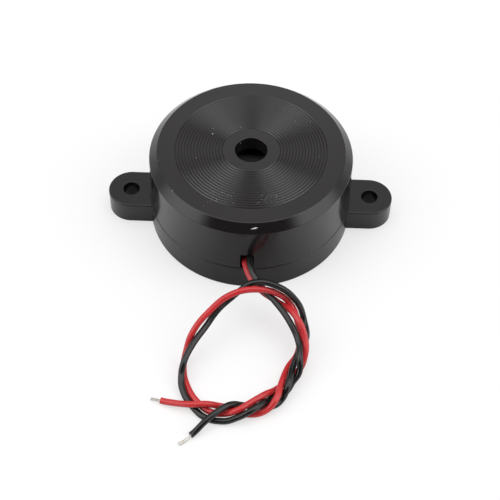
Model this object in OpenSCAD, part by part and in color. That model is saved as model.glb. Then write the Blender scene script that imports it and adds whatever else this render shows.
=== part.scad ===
// Piezo buzzer with its own drive circuit: a round moulded case with two fixing ears, a ring of
// fine grooves round the sound port, and two limp leads that leave by a notch at the seam.
// Millimetres. The origin is at the centre of the base's lower face. +X runs through the two
// ears, the leads leave towards -Y, and +Z is up, towards the sound port.

/* [Case] */
// Diameter of the base tray
base_d = 41.8; // [41.4:0.1:42.2]
// Height of the seam between the base and the cap
seam_z = 6.0; // [5.8:0.1:6.2]
// Overall height of the case
case_h = 18.2; // [18.0:0.1:18.6]
// Thickness of the side walls and of the top plate
wall = 1.6; // [1.5:0.05:1.7]
// Width of the bevel round the cap's rim
rim_bevel = 1.65; // [1.2:0.05:1.8]
// Clear gap round the base's spigot inside the cap
fit_gap = 0.1; // [0.05:0.05:0.2]

/* [Ears] */
// Distance between the two fixing holes
hole_pitch = 50; // [49.5:0.1:50.5]
// Diameter of a fixing hole
hole_d = 3.4; // [3.2:0.1:3.6]
// Width of an ear, which is also the diameter of its round end
ear_w = 9.5; // [9:0.1:10]
// Thickness of an ear
ear_h = 5.0; // [4.8:0.1:5.2]

/* [Top face] */
// Diameter of the sound port
port_d = 6.5; // [6:0.1:7]
// Number of concentric grooves
groove_n = 16; // [14:1:17]
// Radius of the innermost groove
groove_r = 5.95; // [5.8:0.05:6.2]
// Distance from one groove to the next
groove_pitch = 0.625; // [0.58:0.005:0.63]
// Width of one groove
groove_w = 0.42; // [0.3:0.02:0.46]
// Depth of one groove
groove_t = 0.14; // [0.08:0.01:0.2]

/* [Leads] */
// Outer diameter of a lead's insulation
lead_d = 1.25; // [1.1:0.05:1.25]
// Diameter of a lead's bare twisted strands
strand_d = 0.5; // [0.4:0.05:0.6]
// Width of the notch that the leads pass through
notch_w = 2.7; // [2.6:0.1:3]
// Height of the notch above the seam
notch_h = 4.2; // [4:0.1:4.4]

/* [Sounder] */
// Clear space between the side wall and the ring that the diaphragm hangs from
ledge_gap = 1.65; // [1.5:0.05:1.9]
// Width of that ring
ledge_w = 1.6; // [1.4:0.1:1.8]
// Thickness of the brass diaphragm plate
plate_t = 0.3; // [0.25:0.05:0.35]
// Diameter of the ceramic disc
ceramic_d = 25; // [24:0.5:26]
// Thickness of the ceramic disc
ceramic_t = 0.25; // [0.2:0.05:0.3]

/* [Circuit] */
// Clear gap round the circuit board
board_gap = 0.85; // [0.6:0.05:1]
// Thickness of the circuit board
board_t = 1.0; // [0.8:0.1:1]
// Diameter of a component's wire leg
leg_d = 0.5; // [0.4:0.05:0.5]

/* [Hidden] */

$fn = 96;
eps = 0.01;                             // how far a cut runs past the face that it opens

// Case, outside
base_r = base_d / 2;
cap_r = base_r - 0.05;                  // the cap at the seam
draft = 0.2;                            // how much narrower the cap is at its bevel
bevel_h = 1.6;                          // height of the cap's bevel
seam_bevel = 0.15;                      // bevel on each side of the seam
foot_bevel = 0.3;                       // bevel round the base's lower edge
ear_bevel = 0.25;                       // bevel round an ear's upper edge
ear_r = ear_w / 2;

// Case, inside
floor_t = 1.8;                          // thickness of the base's floor
cap_in_r = cap_r - wall;
spigot_r = cap_in_r - fit_gap;          // outside of the spigot on the base
tray_r = spigot_r - 1.1;                // inside of the spigot and of the tray
spigot_h = 1.5;                         // how far the spigot stands above the seam
spigot_gap = 3.4;                       // opening in the spigot under the leads
top_t = 2.0;                            // thickness of the cap's top plate
neck_wall = 1.35;                       // wall of the neck below the sound port
neck_h = 1.2;                           // how far the neck hangs below the top plate
ledge_out_r = cap_in_r - ledge_gap;     // ring that the diaphragm hangs from
ledge_in_r = ledge_out_r - ledge_w;
ledge_z = 12.2;                         // lower face of that ring
top_in_z = case_h - top_t;              // underside of the top plate

// Board and the posts that hold it
board_r = tray_r - board_gap;
board_z = 3.6;                          // underside of the board
board_top = board_z + board_t;
post_r = 2.5;
post_at = board_r - 4.2;                // distance of a post from the centre
post_angles = [90, 210, 330];
pin_d = 1.4;                            // pin through the board on each post
rivet_d = 3.0;                          // its flattened head
rivet_h = 0.6;
clearance = 0.15;                       // round a pin or a leg in its hole

// Components: places on the board, and how far apart each one's legs are
transistor_at = [7.5, 5];
transistor_d = 4.8;
transistor_z = 6.0;                     // lower face of the transistor's body
transistor_h = 4.6;
transistor_pitch = 1.27;
inductor_at = [-7.5, 4.5];
inductor_pitch = 3.6;
flange_d = 6.0;                         // flanges of the drum core
flange_t = 0.8;
drum_d = 3.0;                           // waist of the drum core
drum_h = 5.0;
winding_d = 5.6;
resistor_pitch = 7.5;
resistor_d = 1.8;
resistor_len = 3.5;
resistor_1_at = [0, -3.4];
resistor_2_at = [0, -7.0];
resistor_3_at = [0, 4.4];
resistors = [[resistor_1_at, 0], [resistor_2_at, 0], [resistor_3_at, 90]];     // place, turn
solder_d = 1.7;                         // solder round a leg, at the board
solder_h = 0.7;                         // how far it stands off the board
lead_joint_h = 3;                       // sloping solder joint at a lead's inner end
lead_joint_flare = 1;                   // how much wider it is at its foot

// Diaphragm
plate_r = ledge_out_r - 0.2;
seal_t = 0.3;                           // glue ring between the ledge and the plate
plate_top = ledge_z - seal_t;
plate_z = plate_top - plate_t;
ceramic_z = plate_z - ceramic_t;
silver_t = 0.05;                        // thickness of the silvered electrodes
silver_z = ceramic_z - silver_t;
silver_r = ceramic_d / 2 - 1;
tongue_w = 3.0;                         // width of the feedback electrode
tongue_in = 4.0;                        // how near the centre it begins
silver_gap = 0.6;                       // bare ceramic between the two electrodes
joint_h = 0.5;                          // solder joint on the diaphragm
joint_d = 2.2;
plate_joint_r = (ceramic_d / 2 + plate_r) / 2;
drive_joint_r = silver_r - 2.9;
feedback_joint_r = silver_r - 2.3;

// Wires from the board to the diaphragm: each stands upright at both its ends
wire_d = 0.8;
core_d = 0.4;                           // bare wire in the board's hole
upright = 1.0;                          // length of the upright stretches
plate_joint = [-plate_joint_r, 0.2];
drive_joint = drive_joint_r * [cos(-60), sin(-60)];
feedback_joint = feedback_joint_r * [cos(88), sin(88)];
plate_wire_route = riser(plate_joint + [1.6, 2.8], plate_joint, plate_z - joint_h);
drive_wire_route = riser(drive_joint + [1.2, -2.8], drive_joint, silver_z - joint_h);
feedback_wire_route = riser(feedback_joint + [4.2, 1.2], feedback_joint, silver_z - joint_h);

// Leads: from the board, out through the notch, and twice round a loose loop on the bench
red_route = [
    [-1.6, -12.4, 5.6], [-1.3, -15.0, 7.2], [-0.8, -18.0, 7.6], [-0.3, -20.9, 7.4],
    [0.5, -23.2, 7.1], [1.7, -25.0, 6.7], [3.5, -26.5, 5.9], [6.0, -28.1, 5.5],
    [10.0, -33.0, 7.1], [11.8, -36.6, 4.9], [11.8, -39.2, 3.1], [10.8, -41.0, 1.0],
    [7.1, -44.9, 0.8], [4.1, -47.9, 2.6], [1.5, -49.8, 2.6], [-0.6, -51.2, 2.4],
    [-3.4, -51.2, 0.9], [-5.6, -50.8, 0.7], [-8.3, -48.7, 0.7], [-10.5, -45.1, 0.7],
    [-11.4, -41.3, 0.8], [-11.0, -38.5, 2.5], [-9.9, -36.1, 5.2], [-6.9, -32.7, 7.5],
    [-2.6, -29.7, 9.4], [2.3, -28.7, 9.9], [6.3, -28.5, 8.4], [8.9, -29.3, 6.0],
    [10.3, -32.5, 4.9], [10.8, -34.5, 2.5], [10.6, -36.9, 1.1], [8.6, -40.9, 1.3],
    [7.4, -45.3, 2.6], [6.5, -48.8, 2.9], [4.9, -50.4, 1.6], [1.6, -51.0, 0.7],
    [-1.1, -50.4, 0.7], [-3.6, -49.5, 0.7], [-6.4, -50.0, 2.2], [-9.3, -50.2, 2.2],
    [-12.4, -49.5, 1.3], [-15.2, -48.7, 0.7]];
black_route = [
    [1.6, -12.4, 5.6], [1.3, -15.0, 8.1], [0.6, -18.0, 9.2], [0.5, -20.9, 9.3], [1.0, -23.5, 9.2],
    [2.1, -25.6, 8.8], [3.5, -27.3, 8.0], [5.7, -29.6, 7.5], [8.8, -33.7, 6.3],
    [10.5, -37.1, 4.8], [10.8, -40.4, 4.4], [10.8, -42.5, 2.6], [9.6, -44.1, 1.5],
    [8.4, -45.8, 0.8], [5.7, -47.3, 0.7], [3.9, -49.8, 2.7], [1.6, -51.7, 2.8],
    [-0.6, -52.4, 1.7], [-3.4, -52.7, 0.7], [-6.5, -52.1, 0.7], [-9.1, -49.8, 0.7],
    [-11.2, -46.6, 1.3], [-11.6, -43.8, 2.1], [-11.2, -41.8, 3.6], [-9.9, -38.7, 4.5],
    [-7.4, -34.5, 5.2], [-5.1, -31.4, 6.7], [-2.8, -29.3, 7.6], [-1.1, -28.2, 8.6],
    [1.4, -27.5, 10.4], [5.3, -28.1, 10.8], [9.9, -29.1, 7.1], [11.7, -31.0, 2.8],
    [12.0, -35.3, 3.2], [10.7, -38.2, 3.0], [9.6, -41.4, 2.7], [8.7, -45.8, 3.1],
    [7.6, -47.7, 1.0], [6.0, -49.0, 0.7], [2.9, -49.2, 0.7], [0.4, -49.2, 0.9],
    [-1.6, -49.8, 2.1], [-3.1, -50.8, 2.6], [-6.2, -53.4, 2.2], [-9.1, -55.9, 0.7]];
red_tip_route = [[-16.2, -48.4, 0.5], [-17.1, -48.2, 0.35]];
black_tip_route = [[-10.0, -56.7, 0.45], [-11.2, -57.6, 0.35]];

// ---- shared shapes ----

function unit(v) = v / norm(v);

// Direction of travel at point i of a route
function heading(route, i) =
    i == 0 ? unit(route[1] - route[0])
    : i == len(route) - 1 ? unit(route[i] - route[i - 1])
    : unit(unit(route[i + 1] - route[i]) + unit(route[i] - route[i - 1]));

// The part of v that stands square to direction t
function squared(v, t) = unit(v - (v * t) * t);

// A side direction at each point, carried from one point to the next so that the tube isn't twisted
function sides_of(route) = [
    for (i = 0, t = heading(route, 0), n = squared(abs(t.z) < 0.9 ? [0, 0, 1] : [1, 0, 0], t);
         i < len(route);
         i = i + 1,
         t = i < len(route) ? heading(route, i) : t,
         n = squared(n, t)) n];

// A round tube swept along a route, with a ring of points at each route point
module tube(route, d, sides = 8) {
    n = sides_of(route);
    last = len(route) - 1;
    points = [for (i = [0:last], k = [0:sides - 1])
        let (a = 360 * k / sides)
        route[i] + d / 2 * (cos(a) * n[i] + sin(a) * cross(heading(route, i), n[i]))];
    function at(i, k) = i * sides + k % sides;
    walls = [for (i = [0:last - 1], k = [0:sides - 1], second = [0, 1])
        second == 0 ? [at(i, k), at(i + 1, k), at(i + 1, k + 1)]
                    : [at(i, k), at(i + 1, k + 1), at(i, k + 1)]];
    first_end = [for (k = [0:sides - 1]) at(0, k)];
    last_end = [for (k = [sides - 1:-1:0]) at(last, k)];
    polyhedron(points, concat([first_end, last_end], walls));
}

// Puts a child, drawn along +Z from the origin, at point p and facing along v
module aim(p, v) {
    translate(p) rotate([0, acos(unit(v).z), atan2(v.y, v.x)]) children();
}

// A wire's route from its foot on the board, in an easy S, to the joint above it
function riser(foot, joint, top_z, steps = 4) =
    let (low = board_top + upright, high = top_z - upright)
    concat([[foot.x, foot.y, board_top]],
           [for (i = [0:steps])
               let (t = i / steps, s = (1 - cos(180 * t)) / 2, p = foot + s * (joint - foot))
               [p.x, p.y, low + t * (high - low)]],
           [[joint.x, joint.y, top_z]]);

// The two ends of a component's legs, for a component at place, turned by turn
function leg_ends(place, turn, pitch) =
    [for (s = [-0.5, 0.5]) place + s * pitch * [cos(turn), sin(turn)]];

leg_holes = concat(
    [for (i = [-1:1]) transistor_at + [i * transistor_pitch, 0]],
    leg_ends(inductor_at, 0, inductor_pitch),
    [for (r = resistors) each leg_ends(r[0], r[1], resistor_pitch)],
    [for (w = [plate_wire_route, drive_wire_route, feedback_wire_route]) [w[0].x, w[0].y]]);

// ---- case ----

module ear(side) {
    bar = hole_pitch / 2;
    section = [[-ear_r, 0], [ear_r, 0], [ear_r, ear_h - ear_bevel], [ear_r - ear_bevel, ear_h],
               [ear_bevel - ear_r, ear_h], [-ear_r, ear_h - ear_bevel]];
    mirror([side < 0 ? 1 : 0, 0, 0]) {
        rotate([90, 0, 90]) linear_extrude(bar) polygon(section);
        translate([bar, 0, 0]) rotate_extrude()
            polygon([[0, 0], [ear_r, 0], [ear_r, ear_h - ear_bevel], [ear_r - ear_bevel, ear_h],
                     [0, ear_h]]);
    }
}

module base() {
    shell = [[0, 0], [base_r - foot_bevel, 0], [base_r, foot_bevel],
             [base_r, seam_z - seam_bevel], [base_r - seam_bevel, seam_z], [spigot_r, seam_z],
             [spigot_r, seam_z + spigot_h], [tray_r, seam_z + spigot_h], [0, seam_z + spigot_h]];
    color("#2b2a29") {
        difference() {
            union() {
                rotate_extrude() polygon(shell);
                for (side = [-1, 1]) ear(side);
            }
            translate([0, 0, floor_t]) cylinder(h = case_h, r = tray_r);
            for (side = [-1, 1])
                translate([side * hole_pitch / 2, 0, -eps]) cylinder(h = ear_h + 1, d = hole_d);
            translate([-spigot_gap / 2, -base_r, seam_z])
                cube([spigot_gap, base_r, spigot_h + 1]);
        }
        for (a = post_angles) rotate(a) translate([post_at, 0, 0]) {
            translate([0, 0, floor_t - eps]) cylinder(h = board_z - floor_t + eps, r = post_r);
            cylinder(h = board_top, d = pin_d);
            translate([0, 0, board_top]) cylinder(h = rivet_h, d1 = rivet_d, d2 = rivet_d - 1);
        }
    }
}

module cap() {
    rim_r = cap_r - draft;
    port_r = port_d / 2;
    grooves = [for (i = [groove_n - 1:-1:0], p = [[1, 0], [0, -groove_t], [-1, 0]])
        [groove_r + i * groove_pitch + p.x * groove_w / 2, case_h + p.y]];
    section = concat(
        [[cap_in_r, seam_z], [cap_r - seam_bevel, seam_z], [cap_r, seam_z + seam_bevel],
         [rim_r, case_h - bevel_h], [rim_r - rim_bevel, case_h]],
        grooves,
        [[port_r, case_h], [port_r, top_in_z - neck_h], [port_r + neck_wall, top_in_z - neck_h],
         [port_r + neck_wall, top_in_z], [ledge_in_r, top_in_z], [ledge_in_r, ledge_z],
         [ledge_out_r, ledge_z], [ledge_out_r, top_in_z], [cap_in_r, top_in_z]]);
    color("#2e2d2b") difference() {
        rotate_extrude() polygon(section);
        translate([-notch_w / 2, -cap_r - 1, seam_z - 1])
            cube([notch_w, wall + 1.8, notch_h + 1]);
    }
}

// ---- circuit ----

module circuit_board() {
    color("#b08a4a") difference() {
        translate([0, 0, board_z]) cylinder(h = board_t, r = board_r);
        for (a = post_angles) rotate(a)
            translate([post_at, 0, 0]) cylinder(h = case_h, d = pin_d + 2 * clearance);
        for (p = leg_holes)
            translate(p) cylinder(h = case_h, d = leg_d + 2 * clearance, $fn = 24);
    }
}

module leg(place, top_z) {
    translate([place.x, place.y, board_z])
        cylinder(h = top_z - board_z, d = leg_d, $fn = 24);
}

module transistor() {
    flat = 0.6;                         // how much of the round body the flat takes away
    r = transistor_d / 2;
    color("#1c1c1e") translate([transistor_at.x, transistor_at.y, transistor_z])
        intersection() {
            cylinder(h = transistor_h, r = r);
            translate([-r, -r, 0]) cube([2 * r, 2 * r - flat, transistor_h]);
        }
    color("silver") for (i = [-1:1])
        leg(transistor_at + [i * transistor_pitch, 0], transistor_z + eps);
}

module inductor_core() {
    color("#3a3836") translate([inductor_at.x, inductor_at.y, board_top]) {
        cylinder(h = flange_t, d = flange_d);
        cylinder(h = drum_h, d = drum_d);
        translate([0, 0, drum_h - flange_t]) cylinder(h = flange_t, d = flange_d);
    }
    color("silver") for (p = leg_ends(inductor_at, 0, inductor_pitch))
        leg(p, board_top + eps);
}

module inductor_winding() {
    color("#a8562a") translate([inductor_at.x, inductor_at.y, board_top + flange_t])
        difference() {
            cylinder(h = drum_h - 2 * flange_t, d = winding_d);
            translate([0, 0, -eps]) cylinder(h = drum_h, d = drum_d);
        }
}

module resistor(i) {
    axis_z = board_top + resistor_d / 2;
    color("#c9a873") translate([resistors[i][0].x, resistors[i][0].y, axis_z])
        rotate([0, 90, resistors[i][1]])
            cylinder(h = resistor_len, d = resistor_d, center = true, $fn = 48);
    color("silver") {
        translate([resistors[i][0].x, resistors[i][0].y, axis_z])
            rotate([0, 90, resistors[i][1]])
                cylinder(h = resistor_pitch, d = leg_d, center = true, $fn = 24);
        for (p = leg_ends(resistors[i][0], resistors[i][1], resistor_pitch)) {
            leg(p, axis_z);
            translate([p.x, p.y, axis_z]) sphere(d = leg_d, $fn = 24);
        }
    }
}

module resistor_1() { resistor(0); }

module resistor_2() { resistor(1); }

module resistor_3() { resistor(2); }

// Solder under every leg, and a sloping joint on top at the inner end of each lead
module board_solder() {
    color("#b9bcc0") {
        for (p = leg_holes) translate([p.x, p.y, board_z - solder_h])
            cylinder(h = solder_h, d1 = solder_d - 0.8, d2 = solder_d, $fn = 32);
        for (route = [red_route, black_route]) intersection() {
            aim(route[0], route[0] - route[1])
                cylinder(h = lead_joint_h, d1 = lead_d, d2 = lead_d + lead_joint_flare, $fn = 32);
            translate([-board_r, -board_r, board_top]) cube([2 * board_r, board_r, lead_joint_h]);
        }
    }
}

// ---- wires to the diaphragm ----

module jumper(route, shade) {
    color(shade) tube(route, wire_d);
    color("silver") translate([route[0].x, route[0].y, board_z])
        cylinder(h = board_t + eps, d = core_d, $fn = 24);
}

module plate_wire() { jumper(plate_wire_route, "#222222"); }

module drive_wire() { jumper(drive_wire_route, "#b02a2a"); }

module feedback_wire() { jumper(feedback_wire_route, "#2a55a8"); }

module disc_solder() {
    color("#b9bcc0") for (route = [plate_wire_route, drive_wire_route, feedback_wire_route])
        translate(route[len(route) - 1])
            cylinder(h = joint_h, d1 = wire_d, d2 = joint_d, $fn = 32);
}

// ---- diaphragm ----

module diaphragm_plate() {
    color("#c8a24a") translate([0, 0, plate_z]) cylinder(h = plate_t, r = plate_r);
}

module diaphragm_seal() {
    color("#d8d6cf") translate([0, 0, plate_top]) difference() {
        cylinder(h = seal_t, r = plate_r);
        translate([0, 0, -eps]) cylinder(h = 1, r = ledge_in_r);
    }
}

module ceramic_disc() {
    color("#ece6d8") translate([0, 0, ceramic_z]) cylinder(h = ceramic_t, d = ceramic_d);
}

// Outline of the feedback electrode, grown by spread: a tongue from near the centre to the edge
module tongue(spread) {
    translate([0, tongue_in]) circle(d = tongue_w + 2 * spread);
    translate([-tongue_w / 2 - spread, tongue_in]) square([tongue_w + 2 * spread, ceramic_d]);
}

module main_electrode() {
    color("#d5d5d8") translate([0, 0, silver_z]) linear_extrude(silver_t) difference() {
        circle(r = silver_r);
        tongue(silver_gap);
    }
}

module feedback_electrode() {
    color("#d5d5d8") translate([0, 0, silver_z]) linear_extrude(silver_t) intersection() {
        circle(r = silver_r);
        tongue(0);
    }
}

// ---- leads ----

module red_lead() {
    color("#c23346") tube(red_route, lead_d);
}

module black_lead() {
    color("#2a2c2e") tube(black_route, lead_d);
}

// Bare strands beyond a lead's end: the first ring lies flat on the insulation's end face
module strands(route, tip_route) {
    end = route[len(route) - 1];
    run = unit(end - route[len(route) - 2]);
    color("#b9855a") tube(concat([end, end + 0.3 * run], tip_route), strand_d);
}

module red_lead_strands() { strands(red_route, red_tip_route); }

module black_lead_strands() { strands(black_route, black_tip_route); }

base();
cap();
circuit_board();
transistor();
inductor_core();
inductor_winding();
resistor_1();
resistor_2();
resistor_3();
board_solder();
plate_wire();
drive_wire();
feedback_wire();
disc_solder();
diaphragm_plate();
diaphragm_seal();
ceramic_disc();
main_electrode();
feedback_electrode();
red_lead();
black_lead();
red_lead_strands();
black_lead_strands();
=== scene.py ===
"""A piezo buzzer in a black moulded case, with its two leads laid loose in front of it."""

import math
import random

import bmesh
import bpy
from mathutils import Matrix, Vector


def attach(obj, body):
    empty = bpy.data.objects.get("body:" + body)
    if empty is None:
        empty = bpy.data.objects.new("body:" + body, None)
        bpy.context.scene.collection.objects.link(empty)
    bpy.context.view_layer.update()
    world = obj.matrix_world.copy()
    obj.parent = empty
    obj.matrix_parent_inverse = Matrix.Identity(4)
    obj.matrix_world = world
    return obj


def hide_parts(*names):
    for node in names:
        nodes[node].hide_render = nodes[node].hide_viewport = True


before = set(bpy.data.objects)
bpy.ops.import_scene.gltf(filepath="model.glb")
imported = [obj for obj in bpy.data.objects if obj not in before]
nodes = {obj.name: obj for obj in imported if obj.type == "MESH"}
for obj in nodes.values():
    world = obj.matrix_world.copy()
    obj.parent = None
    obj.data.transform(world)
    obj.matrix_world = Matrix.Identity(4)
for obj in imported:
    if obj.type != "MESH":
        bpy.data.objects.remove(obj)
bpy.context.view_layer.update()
MM = 0.001

# ---------------------------------------------------------------- camera
# A long lens looks down at the case from the side where the leads leave it, a little from the
# right, and leans by about a degree.
lens_at = Vector((3.031, -168.047, 201.480)) * MM
aim_at = Vector((0.393, -11.453, 0)) * MM
lean = math.radians(1.268)

camera_data = bpy.data.cameras.new("camera")
camera_data.lens = 88.47
camera_data.sensor_width = 36
camera_data.clip_start = 0.01
camera = bpy.data.objects.new("camera", camera_data)
bpy.context.collection.objects.link(camera)
facing = (aim_at - lens_at).to_track_quat("-Z", "Y").to_matrix().to_4x4()
camera.matrix_world = Matrix.Translation(lens_at) @ facing @ Matrix.Rotation(lean, 4, "Z")
bpy.context.scene.camera = camera

# ---------------------------------------------------------------- leads
# Two limp stranded leads in thin soft insulation, soldered to the board inside the case. They
# leave by the notch at the seam, and lie one and a half times round in a loose loop, twisted
# together.
lead_d = 1.25
red_route = [
    (-1.6, -12.4, 5.6), (-1.3, -15.0, 7.2), (-0.8, -18.0, 7.6), (-0.3, -20.9, 7.4),
    (0.5, -23.2, 7.1), (1.7, -25.0, 6.7), (3.5, -26.5, 5.9), (6.0, -28.1, 5.5),
    (10.0, -33.0, 7.1), (11.8, -36.6, 4.9), (11.8, -39.2, 3.1), (10.8, -41.0, 1.0),
    (7.1, -44.9, 0.8), (4.1, -47.9, 2.6), (1.5, -49.8, 2.6), (-0.6, -51.2, 2.4),
    (-3.4, -51.2, 0.9), (-5.6, -50.8, 0.7), (-8.3, -48.7, 0.7), (-10.5, -45.1, 0.7),
    (-11.4, -41.3, 0.8), (-11.0, -38.5, 2.5), (-9.9, -36.1, 5.2), (-6.9, -32.7, 7.5),
    (-2.6, -29.7, 9.4), (2.3, -28.7, 9.9), (6.3, -28.5, 8.4), (8.9, -29.3, 6.0),
    (10.3, -32.5, 4.9), (10.8, -34.5, 2.5), (10.6, -36.9, 1.1), (8.6, -40.9, 1.3),
    (7.4, -45.3, 2.6), (6.5, -48.8, 2.9), (4.9, -50.4, 1.6), (1.6, -51.0, 0.7),
    (-1.1, -50.4, 0.7), (-3.6, -49.5, 0.7), (-6.4, -50.0, 2.2), (-9.3, -50.2, 2.2),
    (-12.4, -49.5, 1.3), (-15.2, -48.7, 0.7)]
black_route = [
    (1.6, -12.4, 5.6), (1.3, -15.0, 8.1), (0.6, -18.0, 9.2), (0.5, -20.9, 9.3), (1.0, -23.5, 9.2),
    (2.1, -25.6, 8.8), (3.5, -27.3, 8.0), (5.7, -29.6, 7.5), (8.8, -33.7, 6.3),
    (10.5, -37.1, 4.8), (10.8, -40.4, 4.4), (10.8, -42.5, 2.6), (9.6, -44.1, 1.5),
    (8.4, -45.8, 0.8), (5.7, -47.3, 0.7), (3.9, -49.8, 2.7), (1.6, -51.7, 2.8),
    (-0.6, -52.4, 1.7), (-3.4, -52.7, 0.7), (-6.5, -52.1, 0.7), (-9.1, -49.8, 0.7),
    (-11.2, -46.6, 1.3), (-11.6, -43.8, 2.1), (-11.2, -41.8, 3.6), (-9.9, -38.7, 4.5),
    (-7.4, -34.5, 5.2), (-5.1, -31.4, 6.7), (-2.8, -29.3, 7.6), (-1.1, -28.2, 8.6),
    (1.4, -27.5, 10.4), (5.3, -28.1, 10.8), (9.9, -29.1, 7.1), (11.7, -31.0, 2.8),
    (12.0, -35.3, 3.2), (10.7, -38.2, 3.0), (9.6, -41.4, 2.7), (8.7, -45.8, 3.1),
    (7.6, -47.7, 1.0), (6.0, -49.0, 0.7), (2.9, -49.2, 0.7), (0.4, -49.2, 0.9),
    (-1.6, -49.8, 2.1), (-3.1, -50.8, 2.6), (-6.2, -53.4, 2.2), (-9.1, -55.9, 0.7)]


def new_material(name):
    """A fresh material, with its node tree and its Principled shader."""
    material = bpy.data.materials.new(name)
    material.use_nodes = True
    tree = material.node_tree
    return material, tree, tree.nodes["Principled BSDF"]


def math_node(tree, operation, first, second=None):
    """One step of arithmetic on a link or a number, and its result."""
    node = tree.nodes.new("ShaderNodeMath")
    node.operation = operation
    for socket, value in zip(node.inputs, (first, second)):
        if isinstance(value, (int, float)):
            socket.default_value = value
        elif value is not None:
            tree.links.new(value, socket)
    return node.outputs["Value"]


def noise(tree, scale, detail=3.0):
    """A noise texture over the object's own coordinates, scale in features a millimetre."""
    place = tree.nodes.new("ShaderNodeTexCoord")
    texture = tree.nodes.new("ShaderNodeTexNoise")
    texture.inputs["Scale"].default_value = scale / MM
    texture.inputs["Detail"].default_value = detail
    tree.links.new(place.outputs["Object"], texture.inputs["Vector"])
    return texture.outputs["Fac"]


def spread(tree, value, low, high, first=0.0, last=1.0):
    """Maps the range first to last of a value to the range low to high."""
    node = tree.nodes.new("ShaderNodeMapRange")
    for name, number in (("From Min", first), ("From Max", last), ("To Min", low),
                         ("To Max", high)):
        node.inputs[name].default_value = number
    tree.links.new(value, node.inputs["Value"])
    return node.outputs["Result"]


def blend(tree, share, first, second):
    """A mix of two colours, each a link or a plain colour, by a share from 0 to 1."""
    node = tree.nodes.new("ShaderNodeMix")
    node.data_type = "RGBA"
    tree.links.new(share, node.inputs["Factor"])
    for socket, colour in (("A", first), ("B", second)):
        if isinstance(colour, tuple):
            node.inputs[socket].default_value = (*colour, 1)
        else:
            tree.links.new(colour, node.inputs[socket])
    return node.outputs["Result"]


def rough_skin(tree, shader, height, depth, strength=1.0):
    """Makes a height into a fine relief, depth in millimetres."""
    bump = tree.nodes.new("ShaderNodeBump")
    bump.inputs["Strength"].default_value = strength
    bump.inputs["Distance"].default_value = depth * MM
    tree.links.new(height, bump.inputs["Height"])
    tree.links.new(bump.outputs["Normal"], shader.inputs["Normal"])


def insulation(name, colour, shade, roughness):
    """Soft extruded insulation: a faint mottle, a satin gloss and a slightly uneven skin."""
    material, tree, shader = new_material(name)
    mottle = noise(tree, 0.35)
    tree.links.new(blend(tree, mottle, colour, shade), shader.inputs["Base Color"])
    skin = noise(tree, 1.6)
    tree.links.new(spread(tree, skin, roughness - 0.06, roughness + 0.08),
                   shader.inputs["Roughness"])
    rough_skin(tree, shader, skin, 0.03, 0.3)
    return material


def curve_piece(name, routes, radius, material, resolution=10, sides=6):
    """Round wires, each on one smooth curve through its route's points, in millimetres.

    A handle that would take a bend under the table is laid flatter.
    """
    curve = bpy.data.curves.new(name, "CURVE")
    curve.dimensions = "3D"
    curve.bevel_depth = radius * MM
    curve.bevel_resolution = sides
    curve.resolution_u = resolution
    curve.use_fill_caps = True
    for route in routes:
        line = curve.splines.new("BEZIER")
        line.bezier_points.add(len(route) - 1)
        for knot, spot in zip(line.bezier_points, route):
            knot.co = Vector(spot) * MM
            knot.handle_left_type = knot.handle_right_type = "AUTO"
        for knot in line.bezier_points:
            handles = [knot.handle_left.copy(), knot.handle_right.copy()]
            drop = knot.co.z - min(handle.z for handle in handles)
            keep = min(1, (knot.co.z - radius * MM) / drop) if drop > 0 else 1
            knot.handle_left_type = knot.handle_right_type = "FREE"
            for handle in handles:
                handle.z = knot.co.z + keep * (handle.z - knot.co.z)
            knot.handle_left, knot.handle_right = handles
    curve.materials.append(material)
    piece = bpy.data.objects.new(name, curve)
    bpy.context.collection.objects.link(piece)
    return piece


red_skin = insulation("red_insulation", (0.62, 0.036, 0.040), (0.54, 0.026, 0.030), 0.23)
black_skin = insulation("black_insulation", (0.0090, 0.0090, 0.0087),
                        (0.0062, 0.0062, 0.0060), 0.25)
leads = []
for name, route, skin, slot in (("red_lead", red_route, red_skin, "lead_red"),
                                ("black_lead", black_route, black_skin, "lead_black")):
    lead = curve_piece(name + "_cover", [route], lead_d / 2, skin)
    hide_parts(name)
    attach(lead, "root")
    leads.append(lead)

# ---------------------------------------------------------------- bare ends
# Seven thin copper strands, twisted together and dipped in solder, stick out a few millimetres
# from each lead's cut insulation. The black one's tip is pressed a little flat.
strand_r = 0.095
strand_ring_r = 0.165
strand_pitch = 2.4
strand_step = 0.25


def tinned_copper():
    """Strands dipped in solder: bright grey metal, duller and a little warmer in places."""
    material, tree, shader = new_material("tinned_strands")
    shader.inputs["Metallic"].default_value = 1.0
    cloud = noise(tree, 1.4)
    tree.links.new(blend(tree, cloud, (0.86, 0.84, 0.81), (0.40, 0.36, 0.31)),
                   shader.inputs["Base Color"])
    tree.links.new(spread(tree, cloud, 0.14, 0.36), shader.inputs["Roughness"])
    rough_skin(tree, shader, noise(tree, 9.0), 0.01)
    return material


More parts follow.
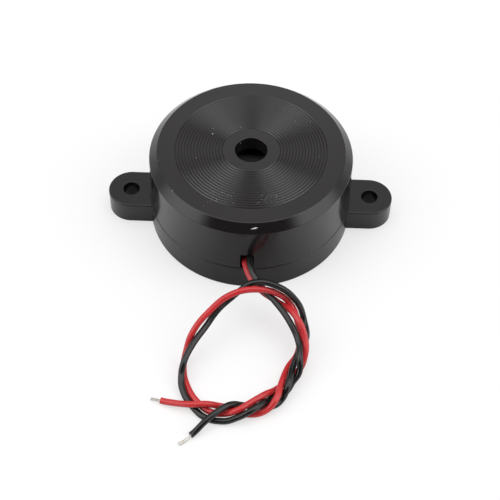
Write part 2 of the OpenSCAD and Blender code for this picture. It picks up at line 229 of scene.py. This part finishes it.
def twisted(route, flat, loose):
    """The routes of seven strands along a three-point route, six of them round the first.

    Flat is how far the tip is pressed down, where 1 is round. Loose is how wide the strands
    spread at the insulation and at the tip, where 1 is as wound.
    """
    start, end = Vector(route[0]), Vector(route[-1])
    middle = Vector(route[1])
    length = (end - start).length
    steps = max(8, int(length / strand_step))
    routes = [[] for _ in range(7)]
    for step in range(steps + 1):
        t = step / steps
        spot = (1 - t) ** 2 * start + 2 * t * (1 - t) * middle + t * t * end
        run = (2 * (1 - t) * (middle - start) + 2 * t * (end - middle)).normalized()
        side = run.cross(Vector((0, 0, 1))).normalized()
        up = side.cross(run)
        squeeze = 1 - (1 - flat) * t
        ring_r = strand_ring_r * (loose[0] + (loose[1] - loose[0]) * t)
        routes[0].append(spot)
        for strand in range(6):
            turn = math.tau * (strand / 6 + t * length / strand_pitch)
            routes[strand + 1].append(spot + ring_r * (
                math.cos(turn) * side / squeeze ** 0.5 + math.sin(turn) * squeeze * up))
    return routes


tinned = tinned_copper()
for lead, name, route, flat, loose, leaves_at in (
        (leads[0], "red_lead", [(-15.0, -48.76, 0.72), (-16.2, -48.4, 0.5), (-17.1, -48.2, 0.35)],
         0.9, (1.0, 1.1), (-0.0003, -0.0209, 0.0074)),
        (leads[1], "black_lead", [(-8.9, -55.7, 0.71), (-9.7, -56.9, 0.45), (-11.2, -57.6, 0.33)],
         0.5, (0.5, 1.3), (0.0005, -0.0209, 0.0093))):
    ends = curve_piece(name + "_bare_end", twisted(route, flat, loose), strand_r, tinned,
                       resolution=4, sides=3)
    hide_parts(name + "_strands")
    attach(ends, "root")

# ---------------------------------------------------------------- base
# The lower half of the case: a tray of black glass-filled plastic, moulded in one with its two
# fixing ears, with a spigot that the cap is pressed over and three posts for the board.
base_r = 20.9
seam_z = 6.0
tray_r = 18.05
spigot_r = 19.15
spigot_top = 7.5
floor_top = 1.8
ear_r = 4.75
ear_h = 5.0
hole_x = 25.0
hole_r = 1.7
ear_edge_r = 0.28
ear_foot = 0.12
seam_edge_r = 0.22
post_ring_r = 13.0
post_r = 2.5
post_low = 1.5
post_top = 3.6
pin_r = 0.7
pin_low = 4.6
pin_head_r = 1.5
pin_top = 5.25
gap_size = (3.4, 4.0, 3.0)
gap_y = -18.6
crisp_angle = 35
edge_hold = 0.04
arc_steps = 5


def rounded(corners):
    """A closed outline through (x, y, fillet) corners, with an arc at each filleted one.

    A point just past each end of an arc keeps the shading of the flats next to it flat.
    """
    outline = []
    for i, (x, y, fillet) in enumerate(corners):
        here = Vector((x, y))
        if not fillet:
            outline.append(here)
            continue
        back = (Vector(corners[i - 1][:2]) - here).normalized()
        ahead = (Vector(corners[(i + 1) % len(corners)][:2]) - here).normalized()
        half = back.angle(ahead) / 2
        reach = fillet / math.tan(half)
        middle = here + (back + ahead).normalized() * fillet / math.sin(half)
        first, last = here + back * reach - middle, here + ahead * reach - middle
        outline.append(here + back * (reach + edge_hold))
        turn = math.atan2(first.x * last.y - first.y * last.x, first.dot(last))
        for step in range(arc_steps + 1):
            angle = turn * step / arc_steps
            outline.append(middle + Vector((
                first.x * math.cos(angle) - first.y * math.sin(angle),
                first.x * math.sin(angle) + first.y * math.cos(angle))))
        outline.append(here + ahead * (reach + edge_hold))
    return outline


def turned(bm, outline, segments):
    """Turns a closed outline of (radius, height) points about Z."""
    rings = []
    for point in outline:
        if point.x < 1e-6:
            rings.append([bm.verts.new((0, 0, point.y))] * segments)
            continue
        rings.append([bm.verts.new((point.x * math.cos(math.tau * k / segments),
                                    point.x * math.sin(math.tau * k / segments), point.y))
                      for k in range(segments)])
    for low, high in zip(rings, rings[1:] + rings[:1]):
        for k in range(segments):
            corners = [low[k], low[(k + 1) % segments], high[(k + 1) % segments], high[k]]
            corners = [c for i, c in enumerate(corners) if c not in corners[:i]]
            if len(corners) > 2:
                bm.faces.new(corners)


def settle(bm, name, material, sharp=crisp_angle):
    """Makes a shape drawn in millimetres into a smooth-shaded object with crisp corners."""
    bmesh.ops.recalc_face_normals(bm, faces=bm.faces)
    bmesh.ops.scale(bm, vec=(MM, MM, MM), verts=bm.verts)
    mesh = bpy.data.meshes.new(name)
    bm.to_mesh(mesh)
    bm.free()
    mesh.materials.append(material)
    mesh.shade_smooth()
    mesh.set_sharp_from_angle(angle=math.radians(sharp))
    piece = bpy.data.objects.new(name, mesh)
    bpy.context.collection.objects.link(piece)
    return piece


def combine(piece, other, operation):
    """Joins the other shape to a piece, or cuts it away, and drops the other."""
    step = piece.modifiers.new(operation.lower(), "BOOLEAN")
    step.operation = operation
    step.object = other
    step.solver = "EXACT"
    bpy.context.view_layer.update()
    seen = piece.evaluated_get(bpy.context.evaluated_depsgraph_get())
    mesh = bpy.data.meshes.new_from_object(seen)
    piece.modifiers.clear()
    old, piece.data = piece.data, mesh
    bpy.data.meshes.remove(old)
    bpy.data.objects.remove(other)
    mesh.name = piece.name
    mesh.set_sharp_from_angle(angle=math.radians(crisp_angle))


def grain_group():
    """Fine moulded grain, and slow changes in gloss. Size is the grain's size in millimetres."""
    group = bpy.data.node_groups.new("moulded grain", "ShaderNodeTree")
    face = group.interface
    size = face.new_socket("Size", in_out="INPUT", socket_type="NodeSocketFloat")
    size.default_value = 0.3
    face.new_socket("Height", in_out="OUTPUT", socket_type="NodeSocketFloat")
    face.new_socket("Cloud", in_out="OUTPUT", socket_type="NodeSocketFloat")
    start = group.nodes.new("NodeGroupInput")
    end = group.nodes.new("NodeGroupOutput")
    place = group.nodes.new("ShaderNodeTexCoord")
    fine = group.nodes.new("ShaderNodeTexNoise")
    fine.inputs["Detail"].default_value = 4
    group.links.new(place.outputs["Object"], fine.inputs["Vector"])
    group.links.new(math_node(group, "DIVIDE", 1 / MM, start.outputs["Size"]),
                    fine.inputs["Scale"])
    slow = noise(group, 0.12, 5)
    group.links.new(fine.outputs["Fac"], end.inputs["Height"])
    group.links.new(slow, end.inputs["Cloud"])
    return group


def dust_group():
    """Fine settled dust on what faces up. Share is how many of the cells hold a grain."""
    group = bpy.data.node_groups.new("dust", "ShaderNodeTree")
    face = group.interface
    for name, value in (("Share", 0.05), ("Size", 0.08)):
        face.new_socket(name, in_out="INPUT",
                        socket_type="NodeSocketFloat").default_value = value
    face.new_socket("Mask", in_out="OUTPUT", socket_type="NodeSocketFloat")
    start = group.nodes.new("NodeGroupInput")
    end = group.nodes.new("NodeGroupOutput")
    place = group.nodes.new("ShaderNodeTexCoord")
    cells = group.nodes.new("ShaderNodeTexVoronoi")
    cells.inputs["Scale"].default_value = 0.8 / MM
    group.links.new(place.outputs["Object"], cells.inputs["Vector"])
    parts = group.nodes.new("ShaderNodeSeparateColor")
    group.links.new(cells.outputs["Color"], parts.inputs["Color"])
    size = math_node(group, "MULTIPLY", parts.outputs["Green"], start.outputs["Size"])
    near = math_node(group, "LESS_THAN", cells.outputs["Distance"], size)
    chosen = math_node(group, "LESS_THAN", parts.outputs["Red"], start.outputs["Share"])
    faces = group.nodes.new("ShaderNodeNewGeometry")
    aim = group.nodes.new("ShaderNodeSeparateXYZ")
    group.links.new(faces.outputs["Normal"], aim.inputs["Vector"])
    upward = math_node(group, "GREATER_THAN", aim.outputs["Z"], 0.3)
    mask = math_node(group, "MULTIPLY", math_node(group, "MULTIPLY", near, chosen), upward)
    group.links.new(mask, end.inputs["Mask"])
    return group


def place_group(tree, group, **values):
    """Places a node group in a tree, with its inputs set by name."""
    node = tree.nodes.new("ShaderNodeGroup")
    node.node_tree = group
    for name, value in values.items():
        node.inputs[name].default_value = value
    return node


grain = grain_group()
dust = dust_group()


def moulded_plastic(name, colour, roughness, relief):
    """The case's black plastic: satin from the tool, a fine grain, a little settled dust."""
    material, tree, shader = new_material(name)
    skin = place_group(tree, grain, Size=0.22)
    specks = place_group(tree, dust, Share=0.03, Size=0.1)
    dim = tuple(0.86 * part for part in colour)
    body = blend(tree, skin.outputs["Cloud"], colour, dim)
    tree.links.new(blend(tree, specks.outputs["Mask"], body, (0.16, 0.155, 0.15)),
                   shader.inputs["Base Color"])
    gloss = spread(tree, skin.outputs["Cloud"], roughness - 0.05, roughness + 0.05)
    tree.links.new(math_node(tree, "ADD", gloss, math_node(
        tree, "MULTIPLY", specks.outputs["Mask"], 0.4)), shader.inputs["Roughness"])
    rough_skin(tree, shader, skin.outputs["Height"], relief, 0.4)
    return material


def ear_shape(bm, side):
    """One fixing ear, from inside the wall to its round end, with its top edge rounded."""
    count = 64
    root = 19.0

    def rim(inset, z):
        reach = ear_r - inset
        ring = []
        for k in range(count):
            angle = math.tau * (k + 0.5) / count
            x, y = math.cos(angle), math.sin(angle)
            if x > 0:
                spot = (hole_x + reach * x, reach * y)
            else:
                stretch = min(reach / max(abs(y), 1e-6), (hole_x - root) / max(-x, 1e-6))
                spot = (hole_x + stretch * x, stretch * y)
            ring.append(bm.verts.new((side * spot[0], spot[1], z)))
        return ring

    def bore(radius, z):
        return [bm.verts.new((side * (hole_x + radius * math.cos(math.tau * (k + 0.5) / count)),
                              radius * math.sin(math.tau * (k + 0.5) / count), z))
                for k in range(count)]

    rims = [rim(ear_foot, 0), rim(0, ear_foot), rim(0, ear_h - ear_edge_r - edge_hold)]
    for step in range(arc_steps + 1):
        angle = math.pi / 2 * step / arc_steps
        rims.append(rim(ear_edge_r * (1 - math.cos(angle)),
                        ear_h - ear_edge_r * (1 - math.sin(angle))))
    rims.append(rim(ear_edge_r + edge_hold, ear_h))
    hole_mouth = ((0.14, 0), (0.1, 0), (0.03, 0.03), (0, 0.1), (0, 0.2))
    rims += [bore(hole_r + wider, ear_h - deeper) for wider, deeper in hole_mouth]
    rims.append(bore(hole_r, 0))
    for low, high in zip(rims, rims[1:] + rims[:1]):
        for k in range(count):
            bm.faces.new([low[k], low[(k + 1) % count], high[(k + 1) % count], high[k]])


base_plastic = moulded_plastic("base_plastic", (0.0135, 0.0115, 0.0122), 0.18, 0.008)
bm = bmesh.new()
turned(bm, rounded([
    (0, 0, 0), (base_r, 0, 0.3), (base_r, seam_z, seam_edge_r), (spigot_r, seam_z, 0),
    (spigot_r, spigot_top, 0.15), (tray_r, spigot_top, 0.15), (tray_r, floor_top, 0.2),
    (0, floor_top, 0)]), segments=256)
base = settle(bm, "base_shell", base_plastic)
for side in (-1, 1):
    bm = bmesh.new()
    ear_shape(bm, side)
    combine(base, settle(bm, "ear", base_plastic), "UNION")
bm = bmesh.new()
for turn in (90, 210, 330):
    spin = Matrix.Rotation(math.radians(turn), 4, "Z") @ Matrix.Translation((post_ring_r, 0, 0))
    part = bmesh.new()
    turned(part, rounded([
        (0, post_low, 0), (post_r, post_low, 0), (post_r, post_top, 0.15), (pin_r, post_top, 0),
        (pin_r, pin_low, 0), (pin_head_r, pin_low, 0.1), (pin_head_r - 0.3, pin_top - 0.05, 0.25),
        (0, pin_top, 0)]), segments=48)
    bmesh.ops.transform(part, matrix=spin, verts=part.verts)
    whole = bpy.data.meshes.new("post")
    part.to_mesh(whole)
    part.free()
    bm.from_mesh(whole)
    bpy.data.meshes.remove(whole)
combine(base, settle(bm, "posts", base_plastic), "UNION")
bm = bmesh.new()
bmesh.ops.create_cube(bm, size=1)
bmesh.ops.scale(bm, vec=gap_size, verts=bm.verts)
bmesh.ops.translate(bm, vec=(0, gap_y, seam_z + gap_size[2] / 2), verts=bm.verts)
combine(base, settle(bm, "gap", base_plastic), "DIFFERENCE")
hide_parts("base")
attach(base, "root")

# ---------------------------------------------------------------- cap
# The upper half: a deep moulded shell with a bevelled rim, a ring of fine turned grooves round
# the sound port, a neck below the port, and a ledge inside that the diaphragm hangs from.
cap_r = 20.85
cap_in_r = 19.25
case_h = 18.2
rim_r = 20.65
rim_bevel = 1.65
bevel_h = 1.6
port_r = 3.25
neck_wall = 1.35
neck_low = 15.0
plate_low = 16.2
ledge_r = 16.0
ledge_out_r = 17.6
ledge_low = 12.2
notch_size = (2.7, 4.0, 6.2)
notch_at = (0, -20.4, 7.1)
groove_count = 16
groove_first_r = 5.95
groove_pitch = 0.625
groove_w = 0.42
groove_t = 0.14


def groove_points(centre):
    """The outline across one V groove, from its outer edge to its inner one.

    Points just beside each edge and the bottom keep the shading between them flat.
    """
    slope = 2 * groove_t / groove_w
    beside, near_bottom = 0.012, 0.015
    outer = [(groove_w / 2 + beside, 0), (groove_w / 2, 0),
             (groove_w / 2 - beside, beside * slope),
             (near_bottom, groove_t - near_bottom * slope)]
    inner = [(-x, depth) for x, depth in reversed(outer)]
    return [(centre + x, case_h - depth, 0) for x, depth in outer + [(0, groove_t)] + inner]


cap_plastic = moulded_plastic("cap_plastic", (0.0135, 0.0112, 0.0122), 0.15, 0.008)
corners = [(cap_in_r, seam_z, 0), (cap_r, seam_z, seam_edge_r), (rim_r, case_h - bevel_h, 0.16),
           (rim_r - rim_bevel, case_h, 0.2)]
for i in reversed(range(groove_count)):
    corners += groove_points(groove_first_r + i * groove_pitch)
corners += [(port_r, case_h, 0.15), (port_r, neck_low, 0.1), (port_r + neck_wall, neck_low, 0.1),
            (port_r + neck_wall, plate_low, 0), (ledge_r, plate_low, 0), (ledge_r, ledge_low, 0.1),
            (ledge_out_r, ledge_low, 0.1), (ledge_out_r, plate_low, 0), (cap_in_r, plate_low, 0)]
bm = bmesh.new()
turned(bm, rounded(corners), segments=320)
cap = settle(bm, "cap_shell", cap_plastic)
bm = bmesh.new()
bmesh.ops.create_cube(bm, size=1)
bmesh.ops.scale(bm, vec=notch_size, verts=bm.verts)
bmesh.ops.translate(bm, vec=notch_at, verts=bm.verts)
bmesh.ops.bevel(bm, geom=bm.edges, offset=0.15, segments=3, affect="EDGES")
combine(cap, settle(bm, "notch", cap_plastic), "DIFFERENCE")
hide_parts("cap")
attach(cap, "root")

# ---------------------------------------------------------------- circuit
# A small round board of paper laminate, with the drive transistor, a drum inductor and three
# resistors, soldered underneath. It is riveted on the base's posts, out of sight.
ring_half_w = 0.17
resistor_half = 1.74
winding_rate = 42.0
tinned_legs = (0.62, 0.61, 0.59)


def dress(names, material):
    """Gives solids that are right as they are their finish."""
    for name in names:
        nodes[name].data.materials.clear()
        nodes[name].data.materials.append(material)


def object_place(tree):
    """The three object coordinates, in millimetres."""
    place = tree.nodes.new("ShaderNodeTexCoord")
    parts = tree.nodes.new("ShaderNodeSeparateXYZ")
    tree.links.new(place.outputs["Object"], parts.inputs["Vector"])
    return [math_node(tree, "MULTIPLY", parts.outputs[axis], 1 / MM) for axis in "XYZ"]


def laminate():
    """Paper laminate: brown, with pressed fibres and a faint gloss."""
    material, tree, shader = new_material("board_laminate")
    fibre = noise(tree, 3.0, 6)
    tree.links.new(blend(tree, fibre, (0.36, 0.20, 0.07), (0.22, 0.115, 0.04)),
                   shader.inputs["Base Color"])
    tree.links.new(spread(tree, fibre, 0.42, 0.62), shader.inputs["Roughness"])
    rough_skin(tree, shader, fibre, 0.02)
    return material


def body_and_legs(name, colour, shade, leg_top):
    """A component's dark body above its bright wire legs, told apart by height."""
    material, tree, shader = new_material(name)
    _, _, z = object_place(tree)
    leg = math_node(tree, "LESS_THAN", z, leg_top)
    cloud = noise(tree, 2.0)
    body = blend(tree, cloud, colour, shade)
    tree.links.new(blend(tree, leg, body, tinned_legs), shader.inputs["Base Color"])
    tree.links.new(leg, shader.inputs["Metallic"])
    tree.links.new(spread(tree, cloud, 0.3, 0.55), shader.inputs["Roughness"])
    rough_skin(tree, shader, cloud, 0.02)
    return material


def resistor_coat(name, axis, centre, rings):
    """Tan lacquer with the colour rings of a value, between bright legs."""
    material, tree, shader = new_material(name)
    along = math_node(tree, "SUBTRACT", object_place(tree)[axis], centre)
    cloud = noise(tree, 2.5)
    colour = blend(tree, cloud, (0.58, 0.40, 0.21), (0.50, 0.33, 0.16))
    for place, ring in rings:
        near = math_node(tree, "LESS_THAN", math_node(
            tree, "ABSOLUTE", math_node(tree, "SUBTRACT", along, place)), ring_half_w)
        colour = blend(tree, near, colour, ring)
    leg = math_node(tree, "GREATER_THAN", math_node(tree, "ABSOLUTE", along), resistor_half)
    tree.links.new(blend(tree, leg, colour, tinned_legs), shader.inputs["Base Color"])
    tree.links.new(leg, shader.inputs["Metallic"])
    tree.links.new(spread(tree, cloud, 0.24, 0.4), shader.inputs["Roughness"])
    return material


def bright_solder():
    """Solder: a bright grey metal, a little wrinkled where it froze."""
    material, tree, shader = new_material("solder")
    shader.inputs["Metallic"].default_value = 1.0
    cloud = noise(tree, 2.2, 4)
    tree.links.new(blend(tree, cloud, (0.66, 0.66, 0.66), (0.44, 0.44, 0.45)),
                   shader.inputs["Base Color"])
    tree.links.new(spread(tree, cloud, 0.2, 0.42), shader.inputs["Roughness"])
    rough_skin(tree, shader, cloud, 0.03)
    return material


def enamelled_turns():
    """Copper wire in clear enamel, wound turn on turn, with painted shade darkening the copper
    between turns.
    """
    material, tree, shader = new_material("winding_wire")
    shader.inputs["Metallic"].default_value = 1.0
    _, _, z = object_place(tree)
    turn_relief_and_shade = spread(tree, math_node(tree, "SINE", math_node(tree, "MULTIPLY", z, winding_rate)),
                   0.0, 1.0, -1.0, 1.0)
    # Painted shade: the copper is darker where the relief dips between turns.
    tree.links.new(blend(tree, turn_relief_and_shade, (0.30, 0.075, 0.02), (0.72, 0.27, 0.09)),
                   shader.inputs["Base Color"])
    tree.links.new(spread(tree, noise(tree, 2.0), 0.22, 0.4), shader.inputs["Roughness"])
    rough_skin(tree, shader, turn_relief_and_shade, 0.05)
    return material


dress(["circuit_board"], laminate())
dress(["transistor"], body_and_legs("component_body", (0.016, 0.016, 0.017),
                                    (0.026, 0.026, 0.028), leg_top=6.0))
dress(["inductor_core"], body_and_legs("ferrite", (0.035, 0.033, 0.031),
                                       (0.055, 0.052, 0.050), leg_top=4.6))
dress(["inductor_winding"], enamelled_turns())
brown, black, red = (0.10, 0.035, 0.012), (0.012, 0.012, 0.012), (0.52, 0.02, 0.015)
orange, gold = (0.75, 0.22, 0.02), (0.60, 0.38, 0.10)
for name, axis, centre, values in (("resistor_1", 0, 0.0, (brown, black, red)),
                                   ("resistor_2", 0, 0.0, (red, red, orange)),
                                   ("resistor_3", 1, 4.4, (brown, black, orange))):
    rings = list(zip((-1.25, -0.65, -0.05), values)) + [(1.1, gold)]
    dress([name], resistor_coat(name + "_coat", axis, centre, rings))
metal = bright_solder()
dress(["board_solder", "disc_solder"], metal)

# ---------------------------------------------------------------- sounder
# A brass plate hung by a ring of silicone from the cap's ledge, with a silvered piezo ceramic
# glued under it. Its face towards the port is coloured near-black, a painted shade for the dark
# inside of the port. Three thin wires feed it.
plate_middle = 11.85


def brass_with_painted_dark_top():
    """Rolled brass, tarnished in patches; its upper face is coloured near-black and matt, a
    painted shade for the port's dark inside.
    """
    material, tree, shader = new_material("plate_brass")
    _, _, z = object_place(tree)
    # Painted shade: the plate's upper face is coloured near-black.
    painted_dark_top = math_node(tree, "GREATER_THAN", z, plate_middle)
    cloud = noise(tree, 0.4, 5)
    brass = blend(tree, cloud, (0.72, 0.49, 0.19), (0.48, 0.29, 0.10))
    tree.links.new(blend(tree, painted_dark_top, brass, (0.05, 0.05, 0.05)),
                   shader.inputs["Base Color"])
    tree.links.new(math_node(tree, "SUBTRACT", 1.0, painted_dark_top), shader.inputs["Metallic"])
    gloss = spread(tree, cloud, 0.24, 0.42)
    tree.links.new(math_node(tree, "ADD", gloss, math_node(tree, "MULTIPLY", painted_dark_top, 0.35)),
                   shader.inputs["Roughness"])
    return material


def cloudy(name, colour, shade, roughness, metallic=0.0, scale=1.0):
    """A plain finish whose colour and gloss drift a little over the surface."""
    material, tree, shader = new_material(name)
    shader.inputs["Metallic"].default_value = metallic
    cloud = noise(tree, scale, 4)
    tree.links.new(blend(tree, cloud, colour, shade), shader.inputs["Base Color"])
    tree.links.new(spread(tree, cloud, roughness - 0.06, roughness + 0.08),
                   shader.inputs["Roughness"])
    rough_skin(tree, shader, cloud, 0.01)
    return material


dress(["diaphragm_plate"], brass_with_painted_dark_top())
dress(["diaphragm_seal"], cloudy("silicone", (0.62, 0.61, 0.57), (0.52, 0.51, 0.47), 0.4))
dress(["ceramic_disc"], cloudy("ceramic", (0.78, 0.72, 0.60), (0.70, 0.63, 0.51), 0.6))
dress(["main_electrode", "feedback_electrode"],
      cloudy("silver_paste", (0.74, 0.73, 0.70), (0.60, 0.59, 0.57), 0.45, metallic=0.85,
             scale=1.5))
dress(["plate_wire"], cloudy("wire_black", (0.016, 0.016, 0.017), (0.011, 0.011, 0.012), 0.4))
dress(["drive_wire"], cloudy("wire_red", (0.55, 0.03, 0.035), (0.44, 0.02, 0.025), 0.4))
dress(["feedback_wire"], cloudy("wire_blue", (0.03, 0.09, 0.40), (0.02, 0.065, 0.30), 0.4))

# ---------------------------------------------------------------- dust and a pale mark
# A few larger flecks of lint and plastic dust lie on the cap, and finer dust sits in two patches
# of the grooves above the notch. A small pale flake lies on the rim's bevel there.
pale_mark_at = (1.25, -19.72, 17.44)
pale_mark_half = (0.72, 0.15, 0.09)


def pale_dust():
    """Pale dust, matt and a little uneven."""
    colour = (0.62, 0.61, 0.58)
    return cloudy("pale_dust", colour, tuple(0.8 * part for part in colour), 0.7, scale=6.0)


def flecks(bm, spots, z, seed):
    """Small uneven flakes at a height, each with its place and size, all in millimetres."""
    pick = random.Random(seed)
    for x, y, size in spots:
        part = bmesh.ops.create_icosphere(bm, subdivisions=2, radius=size / 2)["verts"]
        for vert in part:
            vert.co *= 1 + pick.uniform(-0.25, 0.25)
        squash = Matrix.Diagonal((pick.uniform(0.7, 1.3), pick.uniform(0.5, 0.9), 0.4, 1))
        turn = Matrix.Rotation(pick.uniform(0, math.pi), 4, "Z")
        bmesh.ops.transform(bm, verts=part,
                            matrix=Matrix.Translation((x, y, z + 0.12 * size)) @ turn @ squash)


bm = bmesh.new()
flecks(bm, [(-8.0, 4.0, 0.30), (-2.2, 1.75, 0.14), (11.95, 8.45, 0.20), (-11.0, -2.75, 0.16),
            (-8.0, 5.5, 0.13), (-2.4, 6.2, 0.13), (-18.45, -3.8, 0.15), (-15.05, -11.6, 0.20)],
       case_h, 7)
pick = random.Random(31)
flecks(bm, [(pick.uniform(*span), pick.uniform(-14.4, -11.4), pick.uniform(0.07, 0.13))
            for span in ((-8.0, -3.0), (1.5, 6.8)) for _ in range(26)], case_h - 0.01, 12)
pale_mark = bmesh.ops.create_icosphere(bm, subdivisions=3, radius=1)["verts"]
for vert in pale_mark:
    vert.co *= 1 + pick.uniform(-0.22, 0.22)
bmesh.ops.transform(bm, verts=pale_mark, matrix=(
    Matrix.Translation(pale_mark_at) @ Matrix.Rotation(math.radians(45), 4, "X")
    @ Matrix.Rotation(math.radians(14), 4, "Z") @ Matrix.Diagonal((*pale_mark_half, 1))))
fleck_piece = settle(bm, "dust_flecks", pale_dust(), sharp=180)
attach(fleck_piece, "root")

# ---------------------------------------------------------------- floor and light
# A white table in a room that is brightest overhead and at each side, and dark towards the
# viewer and low behind the case. The viewer sees an even white table. To all other light it has
# a painted shade around the leads, darker there, which darkens the front of the case.
table_size = 3.0
painted_shade_spot = (0, -0.028, 0)
painted_shade_inner, painted_shade_outer = 0.010, 0.030


def table():
    """The table: an even near-white to the viewer, with a painted shade spot that is darker to all
    other light.
    """
    bm = bmesh.new()
    bmesh.ops.create_grid(bm, x_segments=1, y_segments=1, size=table_size)
    mesh = bpy.data.meshes.new("table")
    bm.to_mesh(mesh)
    bm.free()
    material, tree, shader = new_material("table_white")
    tree.nodes.remove(shader)
    diffuse = tree.nodes.new("ShaderNodeBsdfDiffuse")
    glow = tree.nodes.new("ShaderNodeEmission")
    path = tree.nodes.new("ShaderNodeLightPath")
    seen = path.outputs["Is Camera Ray"]
    off = tree.nodes.new("ShaderNodeVectorMath")
    off.operation = "DISTANCE"
    place = tree.nodes.new("ShaderNodeTexCoord")
    tree.links.new(place.outputs["Object"], off.inputs[0])
    off.inputs[1].default_value = painted_shade_spot
    # Painted shade: the table's colour is darker near the leads, for bounced and reflected light
    # only.
    far = spread(tree, off.outputs["Value"], 0, 1, painted_shade_inner, painted_shade_outer)
    shaded_bounce_colour = blend(tree, far, (0.54, 0.54, 0.54), (0.95, 0.95, 0.95))
    tree.links.new(blend(tree, seen, shaded_bounce_colour, (0.40, 0.40, 0.40)), diffuse.inputs["Color"])
    tree.links.new(math_node(tree, "MULTIPLY", seen, 0.575), glow.inputs["Strength"])
    add = tree.nodes.new("ShaderNodeAddShader")
    tree.links.new(diffuse.outputs["BSDF"], add.inputs[0])
    tree.links.new(glow.outputs["Emission"], add.inputs[1])
    tree.links.new(add.outputs["Shader"], tree.nodes["Material Output"].inputs["Surface"])
    mesh.materials.append(material)
    piece = bpy.data.objects.new("table", mesh)
    bpy.context.collection.objects.link(piece)


def toward(azimuth, elevation):
    """A direction, with azimuth in degrees from +Y towards +X."""
    a, e = math.radians(azimuth), math.radians(elevation)
    return Vector((math.sin(a) * math.cos(e), math.cos(a) * math.cos(e), math.sin(e)))


def room():
    """The room's white light, with its brighter and darker parts, all with soft borders."""
    world = bpy.data.worlds.new("room")
    bpy.context.scene.world = world
    world.use_nodes = True
    tree = world.node_tree
    ground = tree.nodes["Background"]
    ground.inputs["Color"].default_value = (1, 1, 1, 1)
    place = tree.nodes.new("ShaderNodeTexCoord")

    def patch(aim, inner, outer, low, high):
        """Goes from high within inner degrees of a direction to low beyond outer degrees."""
        near = tree.nodes.new("ShaderNodeVectorMath")
        near.operation = "DOT_PRODUCT"
        tree.links.new(place.outputs["Generated"], near.inputs[0])
        near.inputs[1].default_value = aim
        node = tree.nodes.new("ShaderNodeMapRange")
        node.interpolation_type = "SMOOTHSTEP"
        for name, number in (("From Min", math.cos(math.radians(outer))),
                             ("From Max", math.cos(math.radians(inner))),
                             ("To Min", low), ("To Max", high)):
            node.inputs[name].default_value = number
        tree.links.new(near.outputs["Value"], node.inputs["Value"])
        return node.outputs["Result"]

    overhead = patch(toward(180, 78), 24, 55, 0.53, 1.9)
    far_wall_glow = patch(toward(0, 41), 2, 11, 0, 0.5)
    glows = [far_wall_glow]
    for side in (-1, 1):
        side_window = patch(toward(side * 102, 35), 8, 30, 0, 1.6)
        low_glow = patch(toward(side * 55, 0), 4, 20, 0, 0.3)
        glows += [side_window, low_glow]
    viewer_side = patch(toward(179, 25), 36, 48, 1.0, 0.0)
    far_skirting = patch(toward(0, 0), 20, 38, 1.0, 0.3)
    light = overhead
    for glow in glows:
        light = math_node(tree, "ADD", light, glow)
    for dimmer in (viewer_side, far_skirting):
        light = math_node(tree, "MULTIPLY", light, dimmer)
    tree.links.new(light, ground.inputs["Strength"])


table()
room()

bpy.context.scene.view_settings.view_transform = "Standard"
